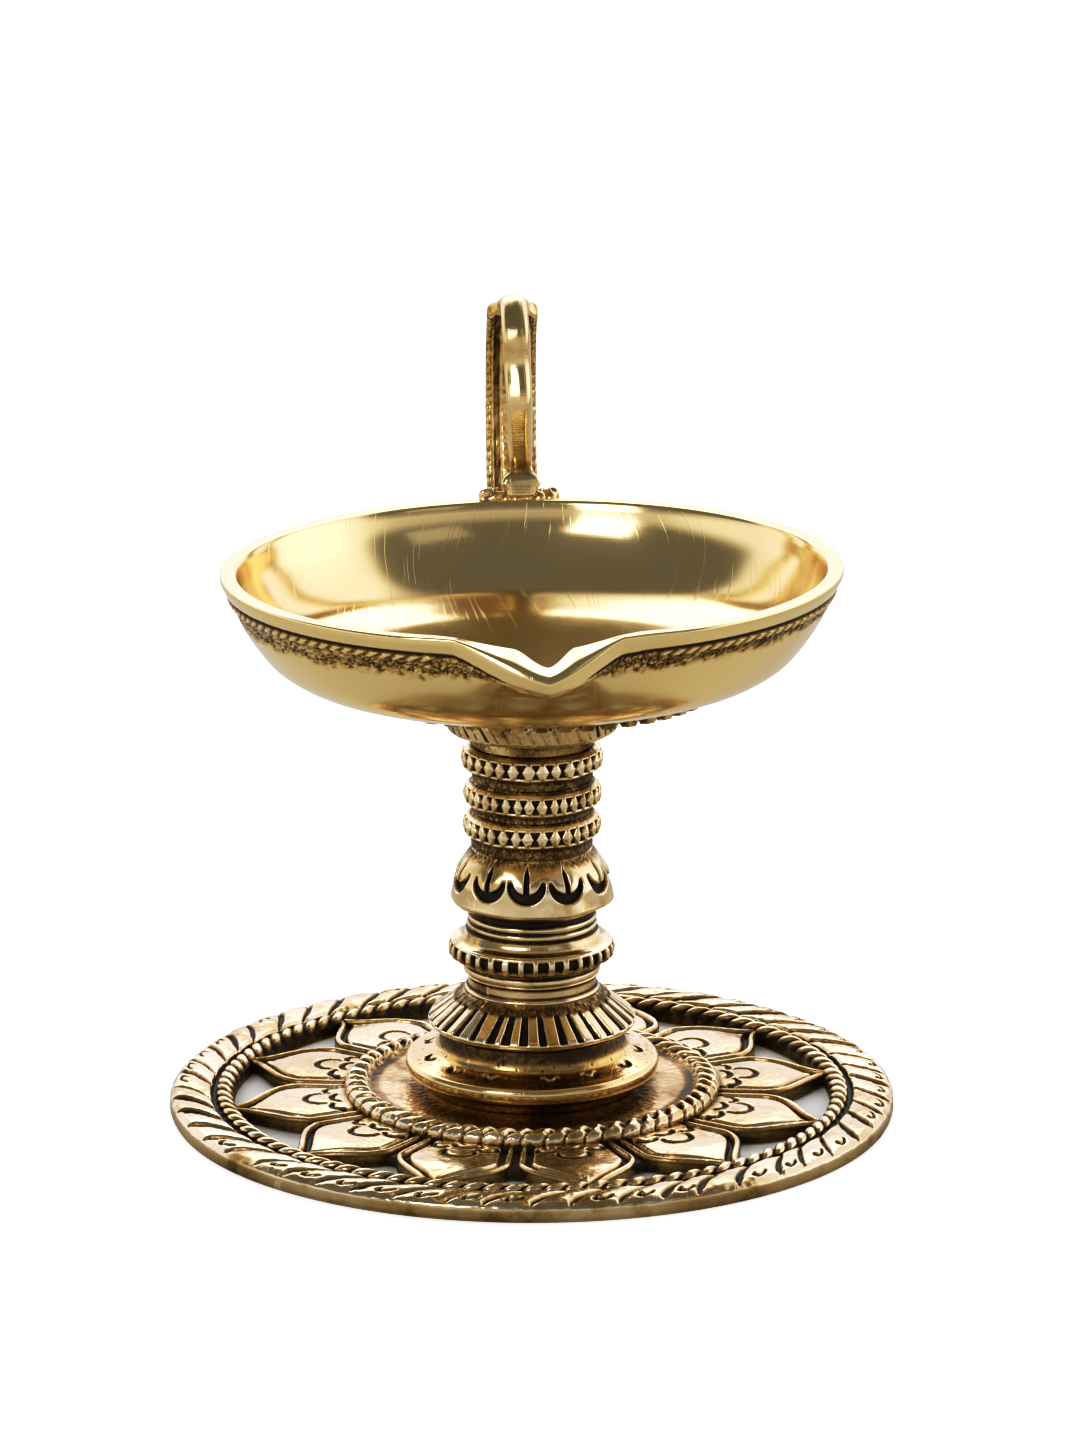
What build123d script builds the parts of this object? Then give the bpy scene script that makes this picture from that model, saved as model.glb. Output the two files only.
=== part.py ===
"""A cast brass diya: a pierced lotus plate, a stacked stem on one tie screw, and a spouted oil bowl.

Millimetres, +Z up. The origin is the centre of the plate's flat underside, where the lamp
stands. The spout points along -Y and the finger loop stands at +Y. The stem's castings are
threaded like beads on a countersunk M5 screw that enters under the plate and ends in a blind
boss below the bowl, so the screw holds the whole lamp together.
"""

from build123d import *
import math
import os

# Driving dimensions of the plate; the petals and the web under them are undercut to clear the table
PLATE_R = 50.0
PLATE_H = 2.8
BAND_INNER_R = 41.2
BEAD_RING_R = (22.5, 26.1)
BEAD_RING_TOP = 4.2
WELL_FLOOR = 3.2
WEB_OUTER_R = 33.0
WEB_TOP = 1.8
UNDERCUT = 0.4
PETALS = 12
PETAL_OFFSET = 7.6

# Heights of the seams between the castings, from the plate's well up to the bowl's seat
FOOT_Z = WELL_FLOOR
SKIRT_Z = 11.3
SKIRT_EDGE_Z = 12.9
COLLAR_Z = 19.6
BELL_Z = 25.8
RING_LOWER_Z = 37.2
RING_MIDDLE_Z = 42.3
RING_UPPER_Z = 46.9
CUP_Z = 51.6
SEAT_Z = 57.6

# Driving radii of the stem
FOOT_R = 17.5
SKIRT_R = 14.4
COLLAR_R = 11.4
BELL_R = 11.3
NECK_R = 8.4
RING_R = 9.2
CUP_R = 12.6
FLUTES = 34
DENTILS = 36
FACETS = 32
FACET_BAND = 2.5
CARVING_DEPTH = 0.5

# Driving dimensions of the bowl
BOWL_R = 42.2
RIM_Z = 76.5
RIM_WIDTH = 2.0
BOWL_FLOOR = 61.3
BOWL_BEAD_R = (23.6, 25.2)
BOWL_BEAD_BOTTOM = 59.4
SPOUT_REACH = 6.0
SPOUT_DROP = 3.2
SPOUT_HALF_ANGLE = 15.5
BOSS_R = 5.5
BOSS_BOTTOM = 49.0
BOSS_HOLE_TOP = 56.0

# Driving dimensions of the finger loop
LOOP_TOP = 104.0
LOOP_BACK = 61.5
LOOP_THICKNESS = 3.0
LOOP_FRONT_WIDTH = 3.8
LOOP_STRAP_WIDTH = 7.2
LOOP_SPLIT_Y = 49.0

# Countersunk M5 slotted screw, 55 mm over all
SCREW_R = 2.5
SCREW_LENGTH = 55.0
HEAD_R = 4.6
HEAD_FACE_Z = 0.4
HEAD_EDGE = 0.3
SLOT_WIDTH = 1.2
SLOT_DEPTH = 1.0
SHANK_CLEARANCE = 0.25
THREAD_CLEARANCE = 0.05
HEAD_CLEARANCE = 0.06
BOSS_CLEARANCE = 0.08


def turned(outline):
    """Solid of revolution about Z from a closed outline drawn as radius and height."""
    return revolve(Plane.XZ * make_face(outline), Axis.Z)


def turned_points(*points):
    """Solid of revolution about Z with straight sides between (radius, height) points."""
    return turned(Polyline(*points, close=True))


def tube(outer_r, inner_r, bottom, top):
    """Plain ring between two radii and two heights."""
    return turned_points((inner_r, bottom), (outer_r, bottom), (outer_r, top), (inner_r, top))


def around(tool, count):
    """The same tool repeated evenly round Z."""
    return [Rot(0, 0, step * 360 / count) * tool for step in range(count)]


def bored(body, bottom, top):
    """The body with the screw's clearance bore through it."""
    return body - tube(SCREW_R + SHANK_CLEARANCE, 0, bottom - 1, top + 1)


def petal():
    """One lotus petal on +X: a wide body that runs out in an ogee to a blunt tip on the band."""
    side = [(25.4, 6.4), (30.0, 7.5), (33.5, 8.0), (36.0, 6.6), (38.8, 3.2), (BAND_INNER_R + 0.6, 0.9)]
    right = Spline(side)
    left = Spline([(along, -across) for along, across in side])
    tip = Line(right @ 1, left @ 1)
    root = Line(left @ 0, right @ 0)
    face = make_face(Curve() + [right, tip, left, root])
    return Pos(0, 0, UNDERCUT) * extrude(face, PLATE_H - UNDERCUT)


def base_plate():
    """Pierced round plate: outer band, twelve petals, bead ring, and the well round the screw."""
    bead_inner, bead_outer = BEAD_RING_R
    band = tube(PLATE_R, BAND_INNER_R, 0, PLATE_H)
    web = tube(WEB_OUTER_R, bead_outer - 1, UNDERCUT, WEB_TOP)
    bead_ring = tube(bead_outer, bead_inner - 1, 0, BEAD_RING_TOP)
    well = tube(bead_inner, 0, 0, WELL_FLOOR)
    bead_ring -= tube(bead_inner, 0, WELL_FLOOR, BEAD_RING_TOP + 1)
    first_petal = Rot(0, 0, PETAL_OFFSET - 90) * petal()
    plate = well + bead_ring + web + band
    for one in around(first_petal, PETALS):
        plate += one
    head_r = HEAD_R + HEAD_CLEARANCE
    bore_r = SCREW_R + SHANK_CLEARANCE
    cone_z = HEAD_FACE_Z + HEAD_EDGE
    seat = turned_points(
        (0, -1), (head_r, -1), (head_r, cone_z), (bore_r, cone_z + head_r - bore_r),
        (bore_r, WELL_FLOOR + 1), (0, WELL_FLOOR + 1),
    )
    return plate - seat


def foot():
    """Turned foot: a spigot on the well, a disc with an undercut, and a hollow flare above it."""
    flare_top = (12.6, SKIRT_Z)
    flare = ThreePointArc((FOOT_R - 0.5, 7.4), (14.3, 8.3), flare_top)
    sides = Polyline(
        flare_top, (0, SKIRT_Z), (0, FOOT_Z), (14.5, FOOT_Z), (14.9, 4.6),
        (FOOT_R - 0.3, 5.3), (FOOT_R, 5.7), (FOOT_R, 7.0), (FOOT_R - 0.5, 7.4),
    )
    return bored(turned(Curve() + [flare, sides]), FOOT_Z, SKIRT_Z)


def fluted_skirt():
    """Conical skirt with radial flutes, and the plain neck on top of it."""
    skirt = turned_points(
        (0, SKIRT_Z), (12.4, SKIRT_Z), (13.9, 11.9), (SKIRT_R, 12.4), (SKIRT_R, SKIRT_EDGE_Z),
        (9.6, 16.8), (9.0, 17.4), (9.0, 18.2), (9.3, 18.5), (9.0, 18.8), (9.0, COLLAR_Z), (0, COLLAR_Z),
    )
    slope = math.degrees(math.atan2(16.8 - SKIRT_EDGE_Z, SKIRT_R - 9.6))
    flute = Box(4.4, 0.7, 2 * CARVING_DEPTH)
    flute = Pos((SKIRT_R + 9.6) / 2, 0, (16.8 + SKIRT_EDGE_Z) / 2) * Rot(0, slope, 0) * flute
    return bored(skirt - around(flute, FLUTES), SKIRT_Z, COLLAR_Z)


def beaded_collar():
    """Collar with a row of square dentils at its widest and a plain cone above."""
    collar = turned_points(
        (0, COLLAR_Z), (9.1, COLLAR_Z), (9.1, 20.3), (9.7, 20.8), (9.7, 21.2), (COLLAR_R - 0.4, 21.9),
        (COLLAR_R, 22.2), (COLLAR_R, 23.6), (COLLAR_R - 0.4, 24.0), (9.0, BELL_Z), (0, BELL_Z),
    )
    pocket = Pos(COLLAR_R, 0, 22.9) * Box(2 * CARVING_DEPTH, 1.1, 1.0)
    return bored(collar - around(pocket, DENTILS), COLLAR_Z, BELL_Z)


def lotus_bell():
    """Bell with a thin flared lip over two fine rings."""
    lip_z = 29.9
    lower = Polyline(
        (NECK_R, RING_LOWER_Z), (0, RING_LOWER_Z), (0, BELL_Z), (8.6, BELL_Z), (9.0, 26.4), (8.6, 26.9),
        (8.9, 27.5), (8.6, 28.1), (8.6, 28.8), (BELL_R - 0.3, lip_z - 0.4), (BELL_R, lip_z),
    )
    shoulder = Spline([(BELL_R, lip_z), (10.7, 33.0), (NECK_R, RING_LOWER_Z)])
    return bored(turned(Curve() + [lower, shoulder]), BELL_Z, RING_LOWER_Z)


def faceted_ring(bottom, top, centre, radius, socket=None):
    """Spacer ring with a band of small facets; socket is the wider bore that clears the bowl's boss."""
    half = FACET_BAND / 2
    edge = 0.35
    ring = turned_points(
        (0, bottom), (NECK_R, bottom), (NECK_R, centre - half - edge), (radius, centre - half),
        (radius, centre + half), (NECK_R, centre + half + edge), (NECK_R, top), (0, top),
    )
    pocket = Pos(radius, 0, centre) * Box(2 * CARVING_DEPTH, 0.9, FACET_BAND - 0.8)
    ring = bored(ring - around(pocket, FACETS), bottom, top)
    if socket:
        ring -= tube(socket, 0, BOSS_BOTTOM - 0.4, top + 1)
    return ring


def top_cup():
    """Flared cup on a short neck, which the bowl sits on."""
    cup = turned_points(
        (0, CUP_Z), (NECK_R, CUP_Z), (NECK_R, 53.2), (11.2, 53.8), (11.6, 54.1), (CUP_R, SEAT_Z), (0, SEAT_Z),
    )
    return cup - tube(BOSS_R + BOSS_CLEARANCE, 0, CUP_Z - 1, SEAT_Z + 1)


def spout(tip_y, half_width, root_y, top_z, keel_y, keel_z):
    """Three-sided wedge: a triangle in the rim's plane that runs down to a short keel on the wall."""
    top = Polyline((-half_width, root_y), (half_width, root_y), (0.8, tip_y), (-0.8, tip_y), close=True)
    keel = Polyline((-0.3, keel_y + 0.3), (0.3, keel_y + 0.3), (0.1, keel_y), (-0.1, keel_y), close=True)
    sections = [Pos(0, 0, keel_z) * make_face(keel), Pos(0, 0, top_z) * make_face(top)]
    return loft(sections, ruled=True)


def bowl():
    """Shallow oil bowl: pinched spout, bead ring underneath, and the tapped boss that takes the tie screw."""
    wall = Spline([(CUP_R, SEAT_Z + 0.3), (25.0, 60.4), (32.0, 62.4), (36.0, 65.1), (39.2, 69.8), (BOWL_R, RIM_Z)])
    bottom = Polyline((BOWL_R, RIM_Z), (0, RIM_Z), (0, SEAT_Z), (CUP_R - 0.3, SEAT_Z), (CUP_R, SEAT_Z + 0.3))
    outside = turned(Curve() + [wall, bottom])
    inner_r = BOWL_R - RIM_WIDTH
    inner_wall = Spline(
        [(0, BOWL_FLOOR), (20.0, 61.9), (30.0, 64.0), (35.4, 67.7), (inner_r, RIM_Z)],
        tangents=[(1, 0), (0.25, 1)],
    )
    lid = Polyline((inner_r, RIM_Z), (inner_r, RIM_Z + 1), (0, RIM_Z + 1), (0, BOWL_FLOOR))
    inside = turned(Curve() + [inner_wall, lid])
    angle = math.radians(SPOUT_HALF_ANGLE)
    tip_y = -(BOWL_R + SPOUT_REACH)
    half_width = BOWL_R * math.sin(angle)
    root_y = -BOWL_R * math.cos(angle)
    outer_spout = spout(tip_y, half_width - 0.1, root_y + 0.5, RIM_Z, -34.0, 63.5)
    inner_spout = spout(tip_y + 2.6, half_width - 2.0, root_y + 3.0, RIM_Z + 0.5, -32.5, 66.5)
    drop_angle = math.degrees(math.atan2(SPOUT_DROP, SPOUT_REACH + 2))
    drop = Pos(0, -BOWL_R + 2, RIM_Z) * Rot(drop_angle, 0, 0) * Pos(0, -10, 5) * Box(24, 20, 10)
    bead_inner, bead_outer = BOWL_BEAD_R
    bead = tube(bead_outer, bead_inner, BOWL_BEAD_BOTTOM, BOWL_BEAD_BOTTOM + 1.6)
    boss = tube(BOSS_R, 0, BOSS_BOTTOM, SEAT_Z + 0.5)
    hole = tube(SCREW_R + THREAD_CLEARANCE, 0, BOSS_BOTTOM - 1, BOSS_HOLE_TOP)
    return outside + outer_spout - inside - inner_spout - drop + bead + boss - hole


def handle(bowl_body):
    """Finger loop: a wide strap rises behind the rim, arches over and comes down as a narrow leg."""
    outer = Spline(
        [(38.2, 68.0), (49.0, 67.2), (59.0, 74.2), (LOOP_BACK, 86.0), (57.6, 98.6), (49.6, LOOP_TOP),
         (43.4, 99.8), (41.6, 91.0), (41.0, RIM_Z - 1)],
        tangents=[(1, -0.2), (0, -1)],
    )
    inner = Spline(
        [(39.2, 71.2), (48.6, 70.2), (56.4, 75.8), (LOOP_BACK - LOOP_THICKNESS, 86.0), (55.0, 96.6),
         (49.6, LOOP_TOP - LOOP_THICKNESS), (46.2, 98.2), (44.6, 90.8), (44.0, RIM_Z - 1)],
        tangents=[(1, -0.2), (0, -1)],
    )
    ends = [Line(outer @ 0, inner @ 0), Line(outer @ 1, inner @ 1)]
    side = Plane.YZ * make_face(Curve() + [outer, inner] + ends)
    leg = extrude(side, LOOP_FRONT_WIDTH / 2, both=True)
    strap = extrude(side, LOOP_STRAP_WIDTH / 2, both=True)
    strap &= Pos(0, LOOP_SPLIT_Y + 20, 86) * Box(10, 40, 50)
    return leg + strap - bowl_body


def tie_screw():
    """Countersunk slotted screw from below the plate up into the bowl's boss."""
    cone_z = HEAD_FACE_Z + HEAD_EDGE
    tip_z = HEAD_FACE_Z + SCREW_LENGTH
    screw = turned_points(
        (0, HEAD_FACE_Z), (HEAD_R, HEAD_FACE_Z), (HEAD_R, cone_z), (SCREW_R, cone_z + HEAD_R - SCREW_R),
        (SCREW_R, tip_z - 0.5), (SCREW_R - 0.5, tip_z), (0, tip_z),
    )
    return screw - Pos(0, 0, HEAD_FACE_Z) * Box(3 * HEAD_R, SLOT_WIDTH, 2 * SLOT_DEPTH)


bowl_body = bowl()
PIECES = {
    "base_plate": base_plate(),
    "foot": foot(),
    "fluted_skirt": fluted_skirt(),
    "beaded_collar": beaded_collar(),
    "lotus_bell": lotus_bell(),
    "ring_lower": faceted_ring(RING_LOWER_Z, RING_MIDDLE_Z, 40.4, RING_R),
    "ring_middle": faceted_ring(RING_MIDDLE_Z, RING_UPPER_Z, 44.9, RING_R),
    "ring_upper": faceted_ring(RING_UPPER_Z, CUP_Z, 49.9, RING_R + 0.3, BOSS_R + BOSS_CLEARANCE),
    "top_cup": top_cup(),
    "bowl": bowl_body,
    "handle": handle(bowl_body),
    "tie_screw": tie_screw(),
}

os.makedirs("parts", exist_ok=True)
for name, piece in PIECES.items():
    export_step(piece, f"parts/{name}.step")
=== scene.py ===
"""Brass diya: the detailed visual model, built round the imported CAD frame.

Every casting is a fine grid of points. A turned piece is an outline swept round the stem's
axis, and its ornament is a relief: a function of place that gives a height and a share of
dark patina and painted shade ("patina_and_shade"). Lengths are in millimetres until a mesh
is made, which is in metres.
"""

import math

import bpy
import numpy as np
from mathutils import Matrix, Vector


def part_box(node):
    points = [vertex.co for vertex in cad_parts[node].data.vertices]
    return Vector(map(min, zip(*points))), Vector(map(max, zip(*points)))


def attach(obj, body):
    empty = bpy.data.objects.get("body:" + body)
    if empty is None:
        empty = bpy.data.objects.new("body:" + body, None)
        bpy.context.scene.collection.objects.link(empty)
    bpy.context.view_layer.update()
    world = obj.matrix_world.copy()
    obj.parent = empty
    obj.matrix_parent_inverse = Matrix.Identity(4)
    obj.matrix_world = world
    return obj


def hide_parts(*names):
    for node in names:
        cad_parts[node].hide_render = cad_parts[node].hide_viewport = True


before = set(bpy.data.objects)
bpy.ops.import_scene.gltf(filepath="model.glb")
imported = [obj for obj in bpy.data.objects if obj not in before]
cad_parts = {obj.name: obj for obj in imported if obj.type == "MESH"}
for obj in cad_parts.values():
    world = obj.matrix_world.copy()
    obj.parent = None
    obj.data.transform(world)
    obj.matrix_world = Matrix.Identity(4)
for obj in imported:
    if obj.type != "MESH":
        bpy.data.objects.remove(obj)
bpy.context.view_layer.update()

MM = 0.001
TURN = 2 * math.pi
BORE_R = 2.75
BOSS_BORE_R = 5.6


# ---- sizes from the frame

def span(node):
    """Bottom, top and outer radius of a CAD node in millimetres."""
    low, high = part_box(node)
    return low.z / MM, high.z / MM, (high.x - low.x) / 2 / MM


# ---- shaping functions

def step(low, high, x):
    """0 below low, 1 above high, smooth between."""
    t = np.clip((x - low) / (high - low), 0, 1)
    return t * t * (3 - 2 * t)


def fall(low, high, x):
    """1 below low, 0 above high, smooth between."""
    return 1 - step(low, high, x)


def window(x, low, high, soft):
    """1 between low and high, falling to 0 over soft at each end."""
    return step(low - soft, low, x) * fall(high, high + soft, x)


def groove(distance, half_width):
    """1 on a line, falling smoothly to 0 past half_width."""
    return fall(0.45 * half_width, 1.35 * half_width, np.abs(distance))


def repeat(angle, count, shift=0.0):
    """Which of count equal cells an angle is in, and where in it, from -0.5 to 0.5."""
    place = angle * count / TURN + shift
    index = np.floor(place)
    return (index % count).astype(int), place - index - 0.5


def spreads(seed, count, *limits):
    """Random values for a row of count cuts: one array for each pair of limits."""
    rng = np.random.default_rng(seed)
    return [rng.uniform(low, high, count) for low, high in limits]


def nearest_cut(angle, radius, nudge, shift=0.0):
    """The nearest of the cuts round a circle, each nudged a little, and its distance along the arc."""
    index, place = repeat(angle, len(nudge), shift)
    return index, (place - nudge[index]) * TURN * radius / len(nudge)


def uneven(angle, along, seed, waves=7):
    """Slow, seamless unevenness round a casting, mostly between -1 and 1."""
    rng = np.random.default_rng(seed)
    total = 0
    for _ in range(waves):
        turns = rng.integers(1, 11)
        total = total + np.sin(turns * angle + rng.uniform(-0.7, 0.7) * along + rng.uniform(0, TURN))
    return total / math.sqrt(waves) * 0.8


def speckle(shape, seed, blur=1):
    """Fine random grain on a grid, seamless round its columns, with a spread of 1."""
    grain = np.random.default_rng(seed).normal(size=shape)
    for _ in range(blur):
        for axis in (0, 1):
            grain = (np.roll(grain, 1, axis) + 2 * grain + np.roll(grain, -1, axis)) / 4
    return grain / grain.std()


def grain_on(height, angle, seed, blur):
    """Random grain for a relief that is given heights in a column and angles in a row."""
    return speckle((len(height), angle.shape[1]), seed, blur)


def nearest(points, line):
    """Distance from each point to a polyline, for arrays of points [..., 2] and a line [n, 2]."""
    best = np.full(points.shape[:-1], 1e9)
    for a, b in zip(line[:-1], line[1:]):
        along = b - a
        t = np.clip(((points - a) @ along) / max(along @ along, 1e-12), 0, 1)
        best = np.minimum(best, np.linalg.norm(points - a - t[..., None] * along, axis=-1))
    return best


# ---- outlines

def even(points, spacing):
    """The same polyline with points about spacing apart."""
    points = np.asarray(points, float)
    length = np.concatenate([[0], np.cumsum(np.linalg.norm(np.diff(points, axis=0), axis=1))])
    count = max(2, round(length[-1] / spacing) + 1)
    wanted = np.linspace(0, length[-1], count)
    return stacked(*[np.interp(wanted, length, column) for column in points.T])


def rounded(corners, spacing=0.2, bottom=0.0):
    """An evenly spaced outline through corners (x, y above bottom, radius), each rounded to its radius."""
    corners = [(x, bottom + y, *(radius or [0.15])) for x, y, *radius in corners]
    out = [np.array(corners[0][:2])]
    for before, here, after in zip(corners, corners[1:], corners[2:]):
        p, a, b = (np.array(c[:2], float) for c in (here, before, after))
        to_a, to_b = a - p, b - p
        long_a, long_b = np.linalg.norm(to_a), np.linalg.norm(to_b)
        reach = min(here[2] * 1.4, 0.48 * long_a, 0.48 * long_b)
        start, end = p + to_a / long_a * reach, p + to_b / long_b * reach
        for t in np.linspace(0, 1, 7):
            out.append((1 - t) ** 2 * start + 2 * t * (1 - t) * p + t * t * end)
    out.append(np.array(corners[-1][:2]))
    return even(out, spacing)


def curve(points, spacing=0.5):
    """A smooth curve (Catmull-Rom) through points of any dimension, evenly spaced."""
    p = np.asarray(points, float)
    p = np.vstack([2 * p[0] - p[1], p, 2 * p[-1] - p[-2]])
    out = []
    for k in range(1, len(p) - 2):
        for t in np.linspace(0, 1, 24, endpoint=False):
            out.append(0.5 * (2 * p[k] + (p[k + 1] - p[k - 1]) * t
                              + (2 * p[k - 1] - 5 * p[k] + 4 * p[k + 1] - p[k + 2]) * t ** 2
                              + (3 * p[k] - p[k - 1] - 3 * p[k + 1] + p[k + 2]) * t ** 3))
    out.append(p[-2])
    return even(out, spacing)


def bored(bottom, top, bottom_r, top_r, bore=BORE_R):
    """The hidden part of a stem casting's outline: its top face, its bore and its bottom face."""
    return np.array([(top_r, top), (bore, top), (bore, bottom), (bottom_r, bottom)])


def outward(outline, closed):
    """Unit normals of an outline in its own plane, pointing away from the area it goes round."""
    if closed:
        tangent = np.roll(outline, -1, axis=0) - np.roll(outline, 1, axis=0)
    else:
        tangent = np.gradient(outline, axis=0)
    tangent /= np.maximum(np.linalg.norm(tangent, axis=1, keepdims=True), 1e-9)
    x, y = outline.T
    area = np.sum(x * np.roll(y, -1) - y * np.roll(x, -1))
    return stacked(tangent[:, 1], -tangent[:, 0]) * (1 if area > 0 else -1)


# ---- meshes

def add_object(name, data):
    made = bpy.data.objects.new(name, data)
    bpy.context.scene.collection.objects.link(made)
    return made


def stacked(*values):
    """Values spread to one shape and stacked: coordinates of points, or corners of faces."""
    return np.stack(np.broadcast_arrays(*values), axis=-1)


def grid_faces(rows, columns, wrap_rows):
    """Quads of a grid whose columns close, and whose rows close when wrap_rows is set."""
    i = np.arange(rows if wrap_rows else rows - 1)[:, None]
    j = np.arange(columns)[None, :]
    down, right = (i + 1) % rows, (j + 1) % columns
    here, below = i * columns, down * columns
    return stacked(here + j, here + right, below + right, below + j)


def round_stem(radius, angle, height):
    """Points round the stem's axis. Angle 0 is towards the spout, at -Y, and grows towards +X."""
    return stacked(radius * np.sin(angle), -radius * np.cos(angle), height)


def closed_surface(points, patina_and_shade, wrap_rows=True):
    """Vertices, patina-and-shade values and faces of a closed grid; open rows are closed by a centre point
    at each end.
    """
    rows, columns = points.shape[:2]
    verts = points.reshape(-1, 3)
    shade = patina_and_shade.reshape(-1)
    faces = [grid_faces(rows, columns, wrap_rows).reshape(-1, 4)]
    if not wrap_rows:
        ring = np.arange(columns)
        first, last = len(verts), len(verts) + 1
        verts = np.vstack([verts, points[0].mean(0), points[-1].mean(0)])
        shade = np.concatenate([shade, [patina_and_shade[0].mean(), patina_and_shade[-1].mean()]])
        after = np.roll(ring, -1)
        base = (rows - 1) * columns
        faces.append(stacked(first, after, ring, -1))
        faces.append(stacked(last, base + ring, base + after, -1))
    return verts, shade, np.vstack(faces)


def signed_volume(verts, faces):
    """Volume inside the faces: positive when they face outward."""
    a, b, c = verts[faces[:, 0]], verts[faces[:, 1]], verts[faces[:, 2]]
    volume = np.einsum("ij,ij->i", a, np.cross(b, c)).sum()
    quads = faces[faces[:, 3] >= 0]
    a, b, c = verts[quads[:, 0]], verts[quads[:, 2]], verts[quads[:, 3]]
    return volume + np.einsum("ij,ij->i", a, np.cross(b, c)).sum()


def joined(shells):
    """Vertices in metres, patina-and-shade values and faces of closed shells put together, each turned to
    face outward.
    """
    verts, shade, faces, count = [], [], [], 0
    for shell_verts, shell_shade, shell_faces in shells:
        if signed_volume(shell_verts, shell_faces) < 0:
            shell_faces = shell_faces[:, [1, 0, 3, 2]]
        verts.append(shell_verts * MM)
        shade.append(shell_shade)
        faces.append(np.where(shell_faces < 0, -1, shell_faces + count))
        count += len(shell_verts)
    return np.vstack(verts), np.concatenate(shade), np.vstack(faces)


def make_piece(name, shells, body, material, *nodes):
    """One object from closed shells (verts, patina_and_shade, faces), riding on a body and standing for CAD
    nodes.
    """
    verts, shade, faces = joined(shells)
    sizes = (faces >= 0).sum(axis=1)
    mesh = bpy.data.meshes.new(name)
    for items, key, values in (
        (mesh.vertices, "co", verts.astype(np.float32)),
        (mesh.loops, "vertex_index", faces[faces >= 0].astype(np.int32)),
        (mesh.polygons, "loop_start", (np.cumsum(sizes) - sizes).astype(np.int32)),
    ):
        items.add(len(values))
        items.foreach_set(key, values.ravel())
    mesh.polygons.foreach_set("use_smooth", np.ones(len(sizes), bool))
    mesh.update(calc_edges=True)
    mesh.validate()
    # Painted shade rides in this attribute with the real patina: under rims and overhangs, in corners and
    # necks, on low side walls.
    attribute = mesh.attributes.new("patina_and_shade", "FLOAT", "POINT")
    attribute.data.foreach_set("value", np.clip(shade, 0, 1).astype(np.float32))
    mesh.materials.append(material)
    piece = add_object(name, mesh)
    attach(piece, body)
    if nodes:
        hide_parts(*nodes)


def turned(shown, hidden, columns, relief):
    """A closed shell swept round Z: the shown outline carries the relief, the hidden points close it.

    relief(radius, height, angle) gives the height of the ornament and its share of patina and painted
    shade.
    """
    outline = np.vstack([shown, hidden])
    normal = outward(outline, True)
    angle = np.linspace(0, TURN, columns, endpoint=False)[None, :]
    radius, height = outline[:, :1], outline[:, 1:]
    raised, patina_and_shade = relief(radius, height, angle)
    row = np.arange(len(outline))
    ends = np.clip(np.minimum(row, len(shown) - 1 - row) / 3, 0, 1)
    raised = (raised + 0 * radius * angle) * ends[:, None]
    around = radius + raised * normal[:, :1]
    points = round_stem(around, angle, height + raised * normal[:, 1:])
    return closed_surface(points, patina_and_shade + 0 * raised)


# ---- materials

class Shader:
    """A small helper that adds nodes to one material or world and links them."""

    def __init__(self, owner):
        owner.use_nodes = True
        self.tree = owner.node_tree
        self.tree.nodes.clear()

    def add(self, kind, settings=None, **inputs):
        node = self.tree.nodes.new("ShaderNode" + kind)
        for key, value in (settings or {}).items():
            setattr(node, key, value)
        for key, value in inputs.items():
            numbered = key[0] == "i" and key[1:].isdigit()
            socket = node.inputs[int(key[1:]) if numbered else key.replace("_", " ")]
            if isinstance(value, bpy.types.NodeSocket):
                self.tree.links.new(value, socket)
            else:
                socket.default_value = value
        return node

    def math(self, operation, a, b=0.0, clamp=False):
        settings = {"operation": operation, "use_clamp": clamp}
        return self.add("Math", settings, i0=a, i1=b).outputs[0]

    def plus(self, a, b):
        return self.math("ADD", a, b)

    def times(self, a, b):
        return self.math("MULTIPLY", a, b)

    def remap(self, value, low, high, out_low=0.0, out_high=1.0):
        smooth = {"interpolation_type": "SMOOTHSTEP"}
        node = self.add("MapRange", smooth, i0=value, i1=low, i2=high, i3=out_low, i4=out_high)
        return node.outputs[0]

    def noise(self, vector, scale, detail=3.0, roughness=0.55):
        inputs = {"Vector": vector, "Scale": scale, "Detail": detail, "Roughness": roughness}
        return self.add("TexNoise", **inputs).outputs["Fac"]

    def ramp(self, factor, stops):
        node = self.add("ValToRGB", Fac=factor)
        elements = node.color_ramp.elements
        while len(elements) < len(stops):
            elements.new(0.5)
        for element, (place, colour) in zip(elements, stops):
            element.position = place
            element.color = (*colour, 1) if isinstance(colour, tuple) else (colour, colour, colour, 1)
        return node.outputs["Color"]

    def stretched(self, vector, scale, turn=0.0):
        return self.add("Mapping", Vector=vector, Rotation=(0.0, 0.0, turn),
                        Scale=scale).outputs["Vector"]


def round_axis(shader, place):
    """Coordinates that follow a turned piece: angle in turns of arc, radius and height."""
    x, y, z = shader.add("SeparateXYZ", Vector=place).outputs
    angle = shader.math("ARCTAN2", y, x)
    radius = shader.math("SQRT", shader.plus(shader.times(x, x), shader.times(y, y)))
    arc = shader.times(angle, 0.02)
    return shader.add("CombineXYZ", X=arc, Y=radius, Z=z).outputs[0]


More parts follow.
